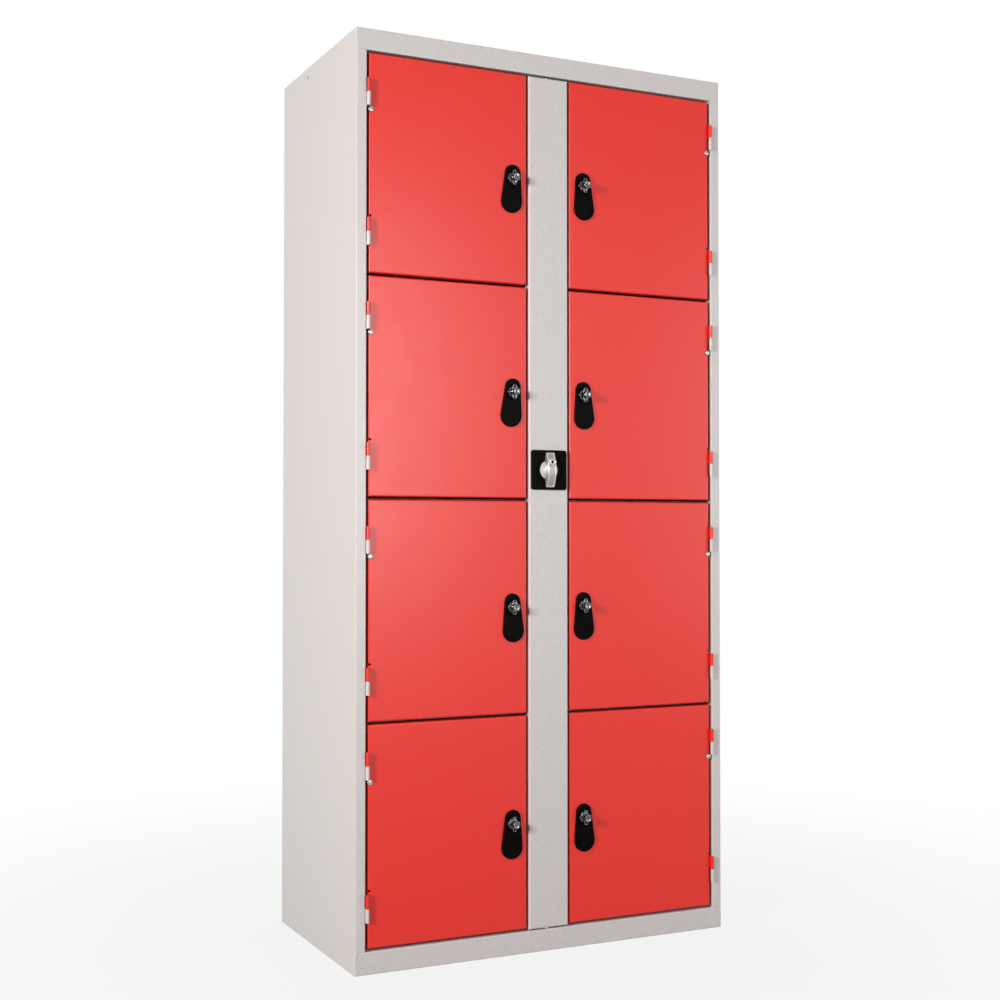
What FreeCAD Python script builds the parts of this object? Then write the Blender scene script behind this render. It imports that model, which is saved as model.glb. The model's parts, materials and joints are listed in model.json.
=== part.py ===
"""Multi-compartment steel locker: two columns of lift-off doors either side of a lift-out locking post.

Millimetres. +Z is up, the doors face -Y, and z = 0 is the floor. The origin is the centre of the footprint.
"""
import FreeCAD
import Part
import math
import os

# Overall size of the carcass
height = 1800.0
width = 824.0
depth = 450.0

# Sheet metal
sheet = 1.2
door_sheet = 1.0
fold_radius = 2.0
tray_bend = 3.0
weld_gap = 0.2

# Front frame and flanges of the carcass
stile_width = 21.0
header_height = 41.5
rail_height = 43.0
return_depth = 24.0
rebate_lip = 10.0
rear_flange = 18.0
foot_flange = 22.0
end_flange = 12.0

# Joining hole in each side
joining_hole_radius = 3.0
joining_hole_depth = 291.0
joining_hole_drop = 18.6

# Rows of doors and the gaps round them
rows = 4
top_gap = 4.0
row_gap = 5.5
bottom_gap = 5.0
hinge_gap = 5.5
lock_gap = 4.5

# Door trays
door_recess = 2.0
door_depth = 16.0
door_lip = 14.0

# Shelves and partitions
shelf_setback = 0.6
shelf_front_flange = 25.0
shelf_rear_flange = 15.0
partition_inset = 8.0
partition_front_flange = 16.0
partition_rear_flange = 15.0
notch_clearance = 1.0

# Lift-off hinges
knuckle_radius = 3.5
knuckle_height = 26.0
knuckle_gap = 0.4
pin_radius = 1.8
pin_clearance = 0.05
pin_drop = 4.0
hinge_proud = 3.8
hinge_inset = 51.0
leaf_thickness = 1.2
leaf_depth = 14.0

# Slots in the door's edge for the anti-lift screws
slot_inset = 3.2
slot_from_hinge = 5.6
slot_half_height = 2.2

# Pull plates
pull_thickness = 4.0
pull_edge = 1.2
pull_top_radius = 16.8
pull_bottom_radius = 22.9
pull_above_spindle = 27.0
pull_below_spindle = 70.0
pull_dish_radius = 14.5
pull_dish_depth = 0.8
pull_tilt = {"left": (-2.5, -4.0, 2.0, -1.7), "right": (2.6, 2.4, 1.0, 2.0)}

# Hasp: fixed collar, turning knob and latch cam
spindle_inset = 32.0
spindle_radius = 5.0
spindle_clearance = 0.08
collar_radius = 10.5
collar_flange = 2.4
collar_neck_radius = 8.0
collar_height = 5.0
barrel_radius = 8.7
barrel_clearance = 0.15
barrel_behind_door = 9.0
lug_reach = 10.2
lug_tip_radius = 3.5
lug_thickness = 2.6
eye_reach = 11.0
eye_tip_radius = 4.0
eye_thickness = 3.0
eye_hole_radius = 2.4
knob_radius = 7.5
knob_height = 18.0
knob_edge = 1.4
turning_gap = 0.4
back_nut_radius = 13.0
back_nut_thickness = 5.0
nut_sides = 6
cam_thickness = 2.5
cam_width = 16.0
cam_tip_radius = 6.0
cam_hook = 5.5
cam_gap = 1.0
cam_square = 7.0
cam_square_clearance = 0.1

# Centre post
post_width = 88.0
post_depth = 18.0
post_lip = 14.0
post_top_gap = 4.5
post_bottom_gap = 2.5
post_seat_gap = 0.3

# Turn handle on the post
handle_height = 961.0
rosette_size = 80.0
rosette_thickness = 3.5
rosette_corner = 5.5
rosette_edge = 0.8
rosette_dish_radius = 30.0
rosette_dish_depth = 1.5
neck_radius = 11.0
neck_clearance = 0.2
ring_nut_radius = 16.0
ring_nut_thickness = 2.5
ring_nut_gap = 0.5
handle_spindle_radius = 7.9
handle_spindle_clearance = 0.1
dome_radius = 21.5
dome_height = 4.5
dome_gap = 0.3
grip_length = 70.0
grip_width = 18.0
grip_rise = 13.8
grip_end_rise = 4.7
grip_end_thickness = 4.2
grip_foot = 2.5
grip_edge = 1.2
panel_rim = 2.4
panel_depth = 1.2
key_above_axis = 15.5
key_boss_radius = 8.6
key_boss_proud = 2.2
key_plug_radius = 6.9
key_plug_clearance = 0.06
key_plug_depth = 7.5
key_plug_end_gap = 0.3
key_bore_floor = 1.2
keyhole_width = 1.8
keyhole_height = 6.0
keyhole_depth = 2.5

# Rods behind the post, driven by a lever with two crank pins
rod_radius = 4.0
rod_setback = 10.0
rod_tip_gap = 0.6
rod_clearance = 0.3
rod_chamfer = 1.0
lever_thickness = 2.6
lever_gap = 0.7
lever_width = 13.0
crank_radius = 9.0
crank_pin_radius = 3.0
crank_start = -45.0
yoke_thickness = 3.5
yoke_gap = 0.4
yoke_wall = 1.5
yoke_clearance = 0.5
yoke_above_pin = 20.4
keeper_clearance = 1.0
guide_width = 26.0
guide_depth = 14.0
guide_height = 8.0

# Places worked out from the sizes above
half_width = width / 2
spindle_reach = knob_height + pull_thickness - pull_dish_depth - door_recess
handle_reach = rosette_thickness + grip_rise
front = (max(spindle_reach, handle_reach) - depth) / 2
back = front + depth
inner_half = half_width - sheet - weld_gap
frame_half = half_width - fold_radius - weld_gap
opening_top = height - header_height
opening_bottom = rail_height
door_height = (opening_top - opening_bottom - top_gap - bottom_gap - (rows - 1) * row_gap) / rows
row_pitch = door_height + row_gap
door_face = front + door_recess
door_back = door_face + door_depth
door_hinge_edge = half_width - stile_width - hinge_gap
door_lock_edge = post_width / 2 + lock_gap
hinge_x = half_width - stile_width - hinge_gap / 2
hinge_y = front - hinge_proud
hinge_height = 2 * knuckle_height + knuckle_gap
spindle_x = door_lock_edge + spindle_inset
pull_front = door_face - pull_thickness
collar_seat = pull_front + pull_dish_depth
knob_back = collar_seat - collar_height - turning_gap
cam_front = door_back + cam_gap
partition_face = post_width / 2 - partition_inset
partition_front = front + post_depth + post_seat_gap
panel_inner_back = back - 2 * sheet
rosette_front = front - rosette_thickness
handle_seat = rosette_front + rosette_dish_depth - dome_gap
neck_end = front + sheet + ring_nut_thickness + ring_nut_gap
lever_front = neck_end + lever_gap
yoke_front = lever_front + lever_thickness + yoke_gap
rod_y = front + rod_setback
post_bottom = opening_bottom + post_bottom_gap
post_top = opening_top - post_top_gap

X = FreeCAD.Vector(1, 0, 0)
Y = FreeCAD.Vector(0, 1, 0)
Z = FreeCAD.Vector(0, 0, 1)
ORIGIN = FreeCAD.Vector(0, 0, 0)
BEYOND = 50.0


# Shapes used by many pieces


def box(x0, x1, y0, y1, z0, z1):
    """Block between two corners."""
    return Part.makeBox(x1 - x0, y1 - y0, z1 - z0, FreeCAD.Vector(x0, y0, z0))


def bar_along_y(radius, x, z, y0, y1):
    """Round bar along Y."""
    return Part.makeCylinder(radius, y1 - y0, FreeCAD.Vector(x, y0, z), Y)


def bar_along_z(radius, x, y, z0, z1):
    """Round bar along Z."""
    return Part.makeCylinder(radius, z1 - z0, FreeCAD.Vector(x, y, z0), Z)


def turned(outline, x, z):
    """Solid of revolution about the line along Y through (x, z), from (radius, y) corners."""
    corners = [FreeCAD.Vector(x + radius, y, z) for radius, y in outline]
    face = Part.Face(Part.makePolygon(corners + corners[:1]))
    return face.revolve(FreeCAD.Vector(x, 0, z), Y, 360)


def in_plan(u, v):
    """Point of a section drawn from above."""
    return FreeCAD.Vector(u, v, 0)


def in_side_view(u, v):
    """Point of a section drawn from the side, with u along Y and v along Z."""
    return FreeCAD.Vector(0, u, v)


def in_front_view(u, v):
    """Point of a section drawn from the front, with u along X and v along Z."""
    return FreeCAD.Vector(u, 0, v)


def folded(path, metal_side, place):
    """Section of a folded sheet whose skin follows the path, with metal on its left (1) or right (-1)."""
    corners = [FreeCAD.Vector(u, v, 0) for u, v in path]
    legs = [(b - a).normalize() for a, b in zip(corners, corners[1:])]
    lefts = [Z.cross(leg) for leg in legs]
    skin = [[corners[0]]]
    inside = [[corners[0] + lefts[0] * (metal_side * sheet)]]
    for number in range(1, len(corners) - 1):
        before, after = legs[number - 1], legs[number]
        turn = math.copysign(1, before.cross(after).z)
        reach = math.tan(before.getAngle(after) / 2)
        skin_radius = fold_radius if turn == metal_side else fold_radius - sheet
        inside_radius = fold_radius - sheet if turn == metal_side else fold_radius
        inward = lefts[number - 1] * turn
        centre = corners[number] - before * (skin_radius * reach) + inward * skin_radius
        towards = (corners[number] - centre).normalize()
        for side, radius in ((skin, skin_radius), (inside, inside_radius)):
            start = centre - inward * radius
            end = centre - lefts[number] * (turn * radius)
            side[-1].append(start)
            side.append([start, centre + towards * radius, end])
            side.append([end])
    skin[-1].append(corners[-1])
    inside[-1].append(corners[-1] + lefts[-1] * (metal_side * sheet))
    caps = [[skin[-1][-1], inside[-1][-1]], [inside[0][0], skin[0][0]]]
    stretches = skin + caps[:1] + inside[::-1] + caps[1:]
    edges = []
    for stretch in stretches:
        points = [place(point.x, point.y) for point in stretch]
        curve = Part.Arc(*points) if len(points) == 3 else Part.LineSegment(*points)
        edges.append(curve.toShape())
    return Part.Face(Part.Wire(edges))


def bent_block(x0, x1, y0, y1, z0, z1, radius):
    """Block whose front face bends back round all four edges, with the bends meeting in mitres."""
    block = box(x0, x1, y0, y1, z0, z1)
    front_edges = [edge for edge in block.Edges if edge.BoundBox.YMax < y0 + radius]
    level = [edge for edge in front_edges if edge.BoundBox.XLength > radius]
    upright = [edge for edge in front_edges if edge.BoundBox.ZLength > radius]
    return block.makeFillet(radius, level).common(block.makeFillet(radius, upright))


def folded_tray(x0, x1, y0, y1, z0, z1, thickness, lip):
    """Sheet tray that opens to the back, with a lip turned in all round."""
    t = thickness
    tray = bent_block(x0, x1, y0, y1, z0, z1, tray_bend)
    tray = tray.cut(bent_block(x0 + t, x1 - t, y0 + t, y1 - t, z0 + t, z1 - t, tray_bend - t))
    return tray.cut(box(x0 + lip, x1 - lip, y1 - 2 * t, y1 + t, z0 + lip, z1 - lip))


def teardrop(base_radius, tip_radius, reach, y0, y1):
    """Slab between y0 and y1: a round base about the Y axis drawn out to a round tip above it."""
    slope = (base_radius - tip_radius) / reach
    run = math.sqrt(1 - slope * slope)
    base = FreeCAD.Vector(0, y0, 0)
    tip = FreeCAD.Vector(0, y0, reach)
    right = FreeCAD.Vector(run, 0, slope)
    left = FreeCAD.Vector(-run, 0, slope)
    edges = [
        Part.LineSegment(base + right * base_radius, tip + right * tip_radius).toShape(),
        Part.Arc(tip + right * tip_radius, tip + Z * tip_radius, tip + left * tip_radius).toShape(),
        Part.LineSegment(tip + left * tip_radius, base + left * base_radius).toShape(),
        Part.Arc(base + left * base_radius, base - Z * base_radius, base + right * base_radius).toShape(),
    ]
    return Part.Face(Part.Wire(edges)).extrude(Y * (y1 - y0))


def mirrored(shape):
    """The same piece on the other side of the locker."""
    return shape.mirror(ORIGIN, X)


def moved(shape, x, z):
    """Copy of a piece that was drawn about the Y axis."""
    return shape.translated(FreeCAD.Vector(x, 0, z))


def save(name, *solids):
    """Writes one node."""
    shape = solids[0] if len(solids) == 1 else Part.makeCompound(solids)
    shape.exportStep("parts/" + name + ".step")


# Carcass


def right_side_panel():
    """Side sheet folded into a rear flange and a stile with its return, notched for header and rail."""
    stile_edge = half_width - stile_width
    path = [
        (half_width - rear_flange, back),
        (half_width, back),
        (half_width, front),
        (stile_edge, front),
        (stile_edge, front + return_depth - fold_radius),
    ]
    panel = folded(path, -1, in_plan).extrude(Z * height)
    inside = frame_half + weld_gap
    behind = front + return_depth + notch_clearance
    for z0, z1 in ((-BEYOND, rail_height), (opening_top, height + BEYOND)):
        panel = panel.cut(box(0, inside, front - BEYOND, behind, z0, z1))
    notch_bottom = height - sheet - weld_gap
    panel = panel.cut(box(0, inside, back - fold_radius, back + BEYOND, notch_bottom, height + BEYOND))
    hole_y = front + joining_hole_depth
    hole = Part.makeCylinder(joining_hole_radius, 2 * BEYOND, FreeCAD.Vector(inside - BEYOND, hole_y, 0), X)
    return panel.cut(moved(hole, 0, height - joining_hole_drop))


def keeper_hole(z):
    """Hole that a rod's tip enters."""
    return bar_along_z(rod_radius + keeper_clearance, 0, rod_y, z - BEYOND / 2, z + BEYOND / 2)


def rear_corner_notches(z0, z1):
    """Room in a panel's rear corners for the side panels' rear flanges."""
    inside = half_width - rear_flange - weld_gap
    notch = box(inside, half_width, back - fold_radius - sheet, back + BEYOND, z0, z1)
    return notch.fuse(mirrored(notch))


def top_panel():
    """Top sheet with the header, its return and rebate lip in front, a rear flange and two end flanges."""
    path = [
        (back, height - rear_flange),
        (back, height),
        (front, height),
        (front, opening_top),
        (front + return_depth, opening_top),
        (front + return_depth, opening_top - rebate_lip),
    ]
    along = folded(path, 1, in_side_view).extrude(X * (2 * frame_half)).translated(X * -frame_half)
    along = along.cut(rear_corner_notches(height - 2 * rear_flange, height - sheet))
    crown_path = [
        (inner_half, height - end_flange),
        (inner_half, height),
        (-inner_half, height),
        (-inner_half, height - end_flange),
    ]
    crown_front = front + return_depth + 2 * notch_clearance
    crown_length = panel_inner_back - weld_gap - crown_front
    crown = folded(crown_path, 1, in_front_view).extrude(Y * crown_length).translated(Y * crown_front)
    return along.fuse(crown).removeSplitter().cut(keeper_hole(opening_top))


def base_panel():
    """Compartment floor with the front rail and the rear rail folded down to foot flanges."""
    path = [
        (back - foot_flange, 0),
        (back, 0),
        (back, rail_height),
        (front, rail_height),
        (front, 0),
        (front + foot_flange, 0),
    ]
    base = folded(path, 1, in_side_view).extrude(X * (2 * frame_half)).translated(X * -frame_half)
    return base.cut(rear_corner_notches(-BEYOND, height)).cut(keeper_hole(rail_height))


def back_panel():
    """Flat sheet inside the rear flanges."""
    low = rail_height + weld_gap
    high = height - fold_radius - weld_gap
    return box(-frame_half, frame_half, panel_inner_back, back - sheet, low, high)


def right_partition():
    """Wall behind the post, with a front flange that the post seats on and a rear flange."""
    path = [
        (partition_face - partition_front_flange, partition_front),
        (partition_face, partition_front),
        (partition_face, panel_inner_back),
        (partition_face - partition_rear_flange, panel_inner_back),
    ]
    top = height - sheet
    wall = folded(path, 1, in_plan).extrude(Z * (top - rail_height)).translated(Z * rail_height)
    behind = front + return_depth + sheet + notch_clearance
    below = opening_top - rebate_lip - notch_clearance
    return wall.cut(box(0, half_width, front, behind, below, height))


def right_shelves():
    """Shelves level with the gaps between doors, with a front and a rear flange turned down."""
    shelf_front = front + return_depth + shelf_setback
    shelf_length = inner_half - partition_face - weld_gap
    shelves = []
    for row in range(1, rows):
        level = opening_top - top_gap - row * row_pitch + row_gap / 2
        path = [
            (shelf_front, level - shelf_front_flange),
            (shelf_front, level),
            (panel_inner_back, level),
            (panel_inner_back, level - shelf_rear_flange),
        ]
        shelf = folded(path, -1, in_side_view).extrude(X * shelf_length)
        shelves.append(shelf.translated(X * (partition_face + weld_gap)))
    return shelves


# Hinges of the right column


def door_tops():
    """Height of each door's top edge, from the top row down."""
    return [opening_top - top_gap - row * row_pitch for row in range(rows)]


def hinge_bottoms(door_top):
    """Height of the lower end of a door's upper and lower hinge."""
    return door_top - hinge_inset - hinge_height, door_top - door_height + hinge_inset


def knuckle(leaf_x0, leaf_x1, leaf_end, z0):
    """Rolled knuckle round the hinge axis with its leaf running back beside it."""
    barrel = bar_along_z(knuckle_radius, hinge_x, hinge_y, z0, z0 + knuckle_height)
    leaf = box(leaf_x0, leaf_x1, hinge_y, leaf_end, z0, z0 + knuckle_height)
    bore = bar_along_z(pin_radius + pin_clearance, hinge_x, hinge_y, z0 - BEYOND, z0 + BEYOND)
    return barrel.fuse(leaf).removeSplitter().cut(bore)


def frame_knuckle(z0):
    """Lower knuckle, welded to the stile's return."""
    stile_edge = half_width - stile_width
    return knuckle(stile_edge - leaf_thickness, stile_edge, front + leaf_depth, z0)


def door_knuckle(z0):
    """Upper knuckle, welded to the door's edge."""
    leaf_end = door_face + leaf_depth
    start = z0 + knuckle_height + knuckle_gap
    return knuckle(door_hinge_edge, door_hinge_edge + leaf_thickness, leaf_end, start)


def hinge_pin(z0):
    """Pin that stands in the lower knuckle and carries the upper one."""
    return bar_along_z(pin_radius, hinge_x, hinge_y, z0, z0 + hinge_height - pin_drop)


# One door of the right column, with its bottom edge at z = 0


def screw_slot(z):
    """Round-ended slot, open at the hinge edge, that an anti-lift screw clamps in."""
    x = door_hinge_edge - slot_inset
    y0 = door_face - BEYOND
    y1 = door_face + tray_bend
    slot = bar_along_y(slot_half_height, x, z, y0, y1)
    return slot.fuse(box(x, x + BEYOND, y0, y1, z - slot_half_height, z + slot_half_height))


def door():
    """Folded door tray with its hasp hole and screw slots, and the two hinge leaves welded to its edge."""
    edges = door_lock_edge, door_hinge_edge, door_face, door_back, 0, door_height
    tray = folded_tray(*edges, door_sheet, door_lip)
    hasp_hole = barrel_radius + barrel_clearance
    middle = door_height / 2
    tray = tray.cut(bar_along_y(hasp_hole, spindle_x, middle, door_face - BEYOND, door_face + BEYOND))
    upper, lower = hinge_bottoms(door_height)
    for z in (upper - slot_from_hinge, lower + hinge_height + slot_from_hinge):
        tray = tray.cut(screw_slot(z))
    return [tray, door_knuckle(upper), door_knuckle(lower)]


def pull_plate(tilt):
    """Teardrop plate clamped under the hasp, dished round it and a little askew on the spindle."""
    reach = pull_above_spindle - pull_top_radius + pull_below_spindle - pull_bottom_radius
    plate = teardrop(pull_bottom_radius, pull_top_radius, reach, pull_front, door_face)
    rim = [edge for edge in plate.Edges if edge.BoundBox.YMax < pull_front + pull_edge / 2]
    plate = plate.makeChamfer(pull_edge, rim)
    plate = moved(plate, 0, pull_bottom_radius - pull_below_spindle)
    plate = plate.cut(bar_along_y(pull_dish_radius, 0, 0, pull_front - BEYOND, collar_seat))
    hasp_hole = barrel_radius + barrel_clearance
    plate = plate.cut(bar_along_y(hasp_hole, 0, 0, collar_seat - BEYOND, door_face + BEYOND))
    plate.rotate(ORIGIN, Y, -tilt)
    return moved(plate, spindle_x, door_height / 2)


def hasp_collar():
    """Fixed part of the hasp: flange, two lugs with holes, and the barrel that passes through the door."""
    neck_end = collar_seat - collar_height
    barrel_end = door_face + door_sheet + barrel_behind_door
    outline = [
        (0, neck_end),
        (collar_neck_radius, neck_end),
        (collar_radius, collar_seat - collar_flange),
        (collar_radius, collar_seat),
        (barrel_radius, collar_seat),
        (barrel_radius, barrel_end),
        (0, barrel_end),
    ]
    collar = turned(outline, 0, 0)
    for angle in (90, -90):
        lug = teardrop(collar_neck_radius, lug_tip_radius, lug_reach, neck_end, neck_end + lug_thickness)
        lug = lug.cut(bar_along_y(eye_hole_radius, 0, lug_reach, neck_end - BEYOND, neck_end + BEYOND))
        lug.rotate(ORIGIN, Y, angle)
        collar = collar.fuse(lug)
    bore = bar_along_y(spindle_radius + spindle_clearance, 0, 0, neck_end - BEYOND, barrel_end + BEYOND)
    return moved(collar.removeSplitter().cut(bore), spindle_x, door_height / 2)


def hasp_back_nut():
    """Six-sided nut that clamps the hasp to the door."""
    near = door_face + door_sheet
    angles = [2 * math.pi * side / nut_sides for side in range(nut_sides + 1)]
    corners = [in_front_view(back_nut_radius * math.cos(a), back_nut_radius * math.sin(a)) for a in angles]
    nut = Part.Face(Part.makePolygon(corners)).extrude(Y * back_nut_thickness).translated(Y * near)
    nut = nut.cut(bar_along_y(barrel_radius + barrel_clearance, 0, 0, near - BEYOND, near + BEYOND))
    return moved(nut, spindle_x, door_height / 2)


def hasp_knob():
    """Turning part of the hasp: knob with two eyes, and the spindle with a squared end for the cam."""
    knob_front = collar_seat - knob_height
    outline = [
        (0, knob_front),
        (knob_radius - knob_edge, knob_front),
        (knob_radius, knob_front + knob_edge),
        (knob_radius, knob_back),
        (spindle_radius, knob_back),
        (spindle_radius, cam_front),
        (0, cam_front),
    ]
    knob = turned(outline, 0, 0)
    for angle in (0, 180):
        eye = teardrop(knob_radius, eye_tip_radius, eye_reach, knob_back - eye_thickness, knob_back)
        eye = eye.cut(bar_along_y(eye_hole_radius, 0, eye_reach, knob_back - BEYOND, knob_back + BEYOND))
        eye.rotate(ORIGIN, Y, angle)
        knob = knob.fuse(eye)
    half = cam_square / 2
    square = box(-half, half, cam_front, cam_front + cam_thickness, -half, half)
    return moved(knob.fuse(square).removeSplitter(), spindle_x, door_height / 2)


def latch_cam():
    """Latch arm that hangs down when free and swings behind the post's edge."""
    length = spindle_x - (post_width / 2 - cam_hook)
    cam_back = cam_front + cam_thickness
    arm = teardrop(cam_width / 2, cam_tip_radius, length - cam_tip_radius, cam_front, cam_back)
    half = cam_square / 2 + cam_square_clearance
    arm = arm.cut(box(-half, half, cam_front - BEYOND, cam_front + BEYOND, -half, half))
    arm.rotate(ORIGIN, Y, 180)
    return moved(arm, spindle_x, door_height / 2)


# Centre post and its lock


def centre_post():
    """Channel closed at both ends, with holes for the rods and the handle."""
    half = post_width / 2
    post = folded_tray(-half, half, front, front + post_depth, post_bottom, post_top, sheet, post_lip)
    for z in (post_bottom, post_top):
        post = post.cut(bar_along_z(rod_radius + rod_clearance, 0, rod_y, z - fold_radius, z + fold_radius))
    neck_hole = neck_radius + neck_clearance
    return post.cut(bar_along_y(neck_hole, 0, handle_height, front - BEYOND, front + BEYOND))


def rod_guides():
    """Blocks on the back of the post's face that steady the rods at mid length."""
    guides = []
    for end in (post_bottom, post_top):
        z = (end + handle_height) / 2
        half = guide_width / 2
        block = box(-half, half, front + sheet, front + sheet + guide_depth, z, z + guide_height)
        guides.append(block.cut(bar_along_z(rod_radius + rod_clearance, 0, rod_y, z - BEYOND, z + BEYOND)))
    return guides


def handle_rosette():
    """Square moulded plate with a round dish, and a neck that passes through the post."""
    half = rosette_size / 2
    plate = box(-half, half, rosette_front, front, -half, half)
    corners = [edge for edge in plate.Edges if edge.BoundBox.YLength > rosette_thickness / 2]
    plate = plate.makeFillet(rosette_corner, corners)
    rim = [edge for edge in plate.Edges if edge.BoundBox.YMax < rosette_front + rosette_edge / 2]
    plate = plate.makeChamfer(rosette_edge, rim)
    dish_floor = rosette_front + rosette_dish_depth
    plate = plate.cut(bar_along_y(rosette_dish_radius, 0, 0, rosette_front - BEYOND, dish_floor))
    plate = plate.fuse(bar_along_y(neck_radius, 0, 0, front, neck_end)).removeSplitter()
    bore_radius = handle_spindle_radius + handle_spindle_clearance
    bore = bar_along_y(bore_radius, 0, 0, front - BEYOND, front + BEYOND)
    return moved(plate.cut(bore), 0, handle_height)


def rosette_nut():
    """Ring nut on the rosette's neck, behind the post's face."""
    near = front + sheet
    ring = bar_along_y(ring_nut_radius, 0, 0, near, near + ring_nut_thickness)
    ring = ring.cut(bar_along_y(neck_radius + neck_clearance, 0, 0, near - BEYOND, near + BEYOND))
    return moved(ring, 0, handle_height)


def bow(front_rise, end_rise, foot, end_foot, half_length, half_width_x):
    """Bar that bows forward from its two ends, drawn from the side and given its width."""
    front_arc = Part.Arc(
        in_side_view(handle_seat - end_rise, half_length),
        in_side_view(handle_seat - front_rise, 0),
        in_side_view(handle_seat - end_rise, -half_length),
    )
    back_arc = Part.Arc(
        in_side_view(handle_seat - end_foot, -half_length),
        in_side_view(handle_seat - foot, 0),
        in_side_view(handle_seat - end_foot, half_length),
    )
    ends = [
        Part.LineSegment(front_arc.EndPoint, back_arc.StartPoint),
        Part.LineSegment(back_arc.EndPoint, front_arc.StartPoint),
    ]
    edges = [curve.toShape() for curve in (front_arc, ends[0], back_arc, ends[1])]
    face = Part.Face(Part.Wire(edges))
    return face.extrude(X * (2 * half_width_x)).translated(X * -half_width_x)


def dome():
    """Round cap under the grip."""
    slope = math.atan2(dome_height, dome_radius)
    ball = (dome_radius ** 2 + dome_height ** 2) / (2 * dome_height)
    fall = ball * (1 - math.cos(slope))
    middle = FreeCAD.Vector(ball * math.sin(slope), handle_seat - dome_height + fall, 0)
    centre = FreeCAD.Vector(0, handle_seat, 0)
    rim = FreeCAD.Vector(dome_radius, handle_seat, 0)
    crown = FreeCAD.Vector(0, handle_seat - dome_height, 0)
    edges = [
        Part.LineSegment(centre, rim).toShape(),
        Part.Arc(rim, middle, crown).toShape(),
        Part.LineSegment(crown, centre).toShape(),
    ]
    return Part.Face(Part.Wire(edges)).revolve(ORIGIN, Y, 360)


def key_face():
    """Y of the key plug's face: the front of the boss round it."""
    half_length = grip_length / 2
    sag = grip_rise - grip_end_rise
    bend = (half_length ** 2 + sag ** 2) / (2 * sag)
    drop = bend - math.sqrt(bend ** 2 - key_above_axis ** 2)
    return rosette_front - grip_rise + drop - key_boss_proud


def turn_handle():
    """Cast handle: dome, bowed grip with a sunk panel, key boss and spindle."""
    half_length = grip_length / 2
    half = grip_width / 2
    grip_front = handle_seat - rosette_front + grip_rise
    grip_end = grip_front - grip_rise + grip_end_rise
    grip = bow(grip_front, grip_end, grip_foot, grip_end - grip_end_thickness, half_length, half)
    lengthwise = [edge for edge in grip.Edges if edge.BoundBox.ZLength > half]
    long_edges = [edge for edge in lengthwise if edge.BoundBox.XLength < grip_edge]
    grip = grip.makeChamfer(grip_edge, long_edges)
    panel_half = half_length - panel_rim
    sag = (grip_front - grip_end) * (panel_half / half_length) ** 2
    outside = grip_front + panel_depth
    floor = grip_front - panel_depth
    panel = bow(outside, outside - sag, floor, floor - sag, panel_half, half - panel_rim)
    grip = grip.cut(panel)
    boss_end = key_face() + key_plug_depth + key_plug_end_gap + key_bore_floor
    boss = bar_along_y(key_boss_radius, 0, key_above_axis, key_face(), boss_end)
    spindle = bar_along_y(handle_spindle_radius, 0, 0, handle_seat - grip_foot, lever_front)
    handle = grip.fuse([dome(), boss, spindle])
    bore_end = key_face() + key_plug_depth + key_plug_end_gap
    bore_radius = key_plug_radius + key_plug_clearance
    bore = bar_along_y(bore_radius, 0, key_above_axis, key_face() - BEYOND, bore_end)
    return moved(handle.removeSplitter().cut(bore), 0, handle_height)


def handle_lock():
    """Key plug with its keyhole."""
    plug = bar_along_y(key_plug_radius, 0, 0, key_face(), key_face() + key_plug_depth)
    half = keyhole_width / 2
    tall = keyhole_height / 2
    keyhole = box(-half, half, key_face() - BEYOND, key_face() + keyhole_depth, -tall, tall)
    return moved(plug.cut(keyhole), 0, handle_height + key_above_axis)


def rod_lever():
    """Lever on the handle's spindle with a crank pin at each end."""
    plate_back = lever_front + lever_thickness
    half = lever_width / 2
    lever = box(-crank_radius, crank_radius, lever_front, plate_back, -half, half)
    for x in (-crank_radius, crank_radius):
        lever = lever.fuse(bar_along_y(half, x, 0, lever_front, plate_back))
        pin_end = yoke_front + yoke_thickness + yoke_gap
        lever = lever.fuse(bar_along_y(crank_pin_radius, x, 0, plate_back, pin_end))
    lever = lever.removeSplitter()
    lever.rotate(ORIGIN, Y, -crank_start)
    return moved(lever, 0, handle_height)


def upper_rod():
    """Rod with a slotted yoke plate for its crank pin, drawn with the handle's axis at z = 0."""
    start = math.radians(crank_start)
    pin_z = crank_radius * math.sin(start)
    slot_half = crank_pin_radius + yoke_clearance
    slot_inner = crank_radius * math.cos(start) - slot_half
    slot_outer = crank_radius + slot_half
    rod_end = pin_z + yoke_above_pin
    tip = opening_top - rod_tip_gap - handle_height
    rod = bar_along_z(rod_radius, 0, rod_y, rod_end, tip)
    end_edge = [edge for edge in rod.Edges if edge.BoundBox.ZMin > tip - rod_chamfer]
    rod = rod.makeChamfer(rod_chamfer, end_edge)
    yoke_back = yoke_front + yoke_thickness
    yoke_top = rod_end + yoke_above_pin
    outer = slot_outer + yoke_wall
    slot_low = pin_z - slot_half
    slot_high = pin_z + slot_half
    strip = box(slot_inner - yoke_wall, outer, yoke_front, yoke_back, slot_low - yoke_wall, yoke_top)
    strip = strip.fuse(box(-rod_radius, outer, yoke_front, yoke_back, rod_end, yoke_top))
    slot = box(slot_inner, slot_outer, yoke_front - BEYOND, yoke_back + BEYOND, slot_low, slot_high)
    return rod.fuse(strip).removeSplitter().cut(slot)


def lower_rod():
    """Rod that goes down, its yoke turned half round."""
    rod = upper_rod()
    tip_up = opening_top - rod_tip_gap - handle_height
    tip_down = handle_height - opening_bottom - rod_tip_gap
    middle = tip_up / 2
    cut = rod.cut(box(-BEYOND, BEYOND, front - BEYOND, back, middle, height))
    stretched = bar_along_z(rod_radius, 0, rod_y, middle, tip_down)
    end_edge = [edge for edge in stretched.Edges if edge.BoundBox.ZMin > tip_down - rod_chamfer]
    rod = cut.fuse(stretched.makeChamfer(rod_chamfer, end_edge)).removeSplitter()
    rod.rotate(ORIGIN, Y, 180)
    return rod


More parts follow.
